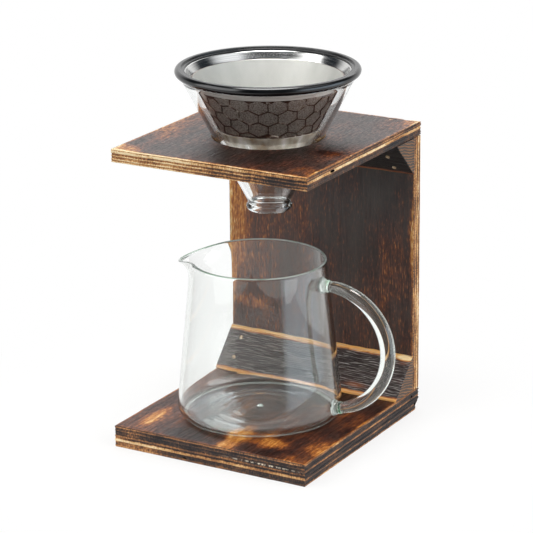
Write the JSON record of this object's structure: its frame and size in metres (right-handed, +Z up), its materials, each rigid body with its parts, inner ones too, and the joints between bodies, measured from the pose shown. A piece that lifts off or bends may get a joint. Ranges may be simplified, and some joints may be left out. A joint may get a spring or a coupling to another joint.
{
  "type": "pour-over dripper stand",
  "caption": "Scorched plywood stand with a round hole in its shelf that holds a glass cone dripper and steel honeycomb filter over a blown glass jug with a rod handle.",
  "frame": {"origin": "middle of the base board's underside, where the stand rests on the table", "axes": "+X along the front edge to the right, the front faces -Y, +Z up"},
  "size_m": [0.1668, 0.157, 0.245],
  "materials": {
    "scorched_plywood": "scorched and brushed plywood",
    "scorched_softwood": "scorched and brushed softwood strip",
    "nail_steel": "bright wire nail",
    "dripper_glass": "clear heat-resistant glass",
    "black_silicone": "satin moulded silicone",
    "polished_steel": "polished stainless steel",
    "steel_mesh": "fine woven stainless mesh",
    "honeycomb_steel": "cut stainless sheet",
    "jug_glass": "blown heat-resistant glass"
  },
  "bodies": {
    "stand": {"base_board": "scorched_plywood", "back_board": "scorched_plywood", "shelf_board": "scorched_plywood", "lower_brace": "scorched_softwood", "upper_brace": "scorched_softwood", "lower_brace_nails": "nail_steel", "upper_brace_nails": "nail_steel", "shelf_nails": "nail_steel", "base_nails": "nail_steel"},
    "dripper": {"glass_dripper": "dripper_glass"},
    "filter": {"filter_ring": "black_silicone", "filter_collar": "polished_steel", "filter_mesh": "steel_mesh", "honeycomb_sleeve": "honeycomb_steel", "filter_cup": "polished_steel"},
    "jug": {"jug_body": "jug_glass", "jug_handle": "jug_glass"}
  },
  "joints": [
    {"name": "dripper_lift", "type": "slide", "parent": "stand", "child": "dripper", "axis": [0, 0, 1], "range_m": [0, 0.055]},
    {"name": "filter_lift", "type": "slide", "parent": "dripper", "child": "filter", "axis": [0, 0, 1], "range_m": [0, 0.055]},
    {"name": "jug_slide", "type": "slide", "parent": "stand", "child": "jug", "axis": [0, -1, 0], "range_m": [0, 0.14]}
  ]
}
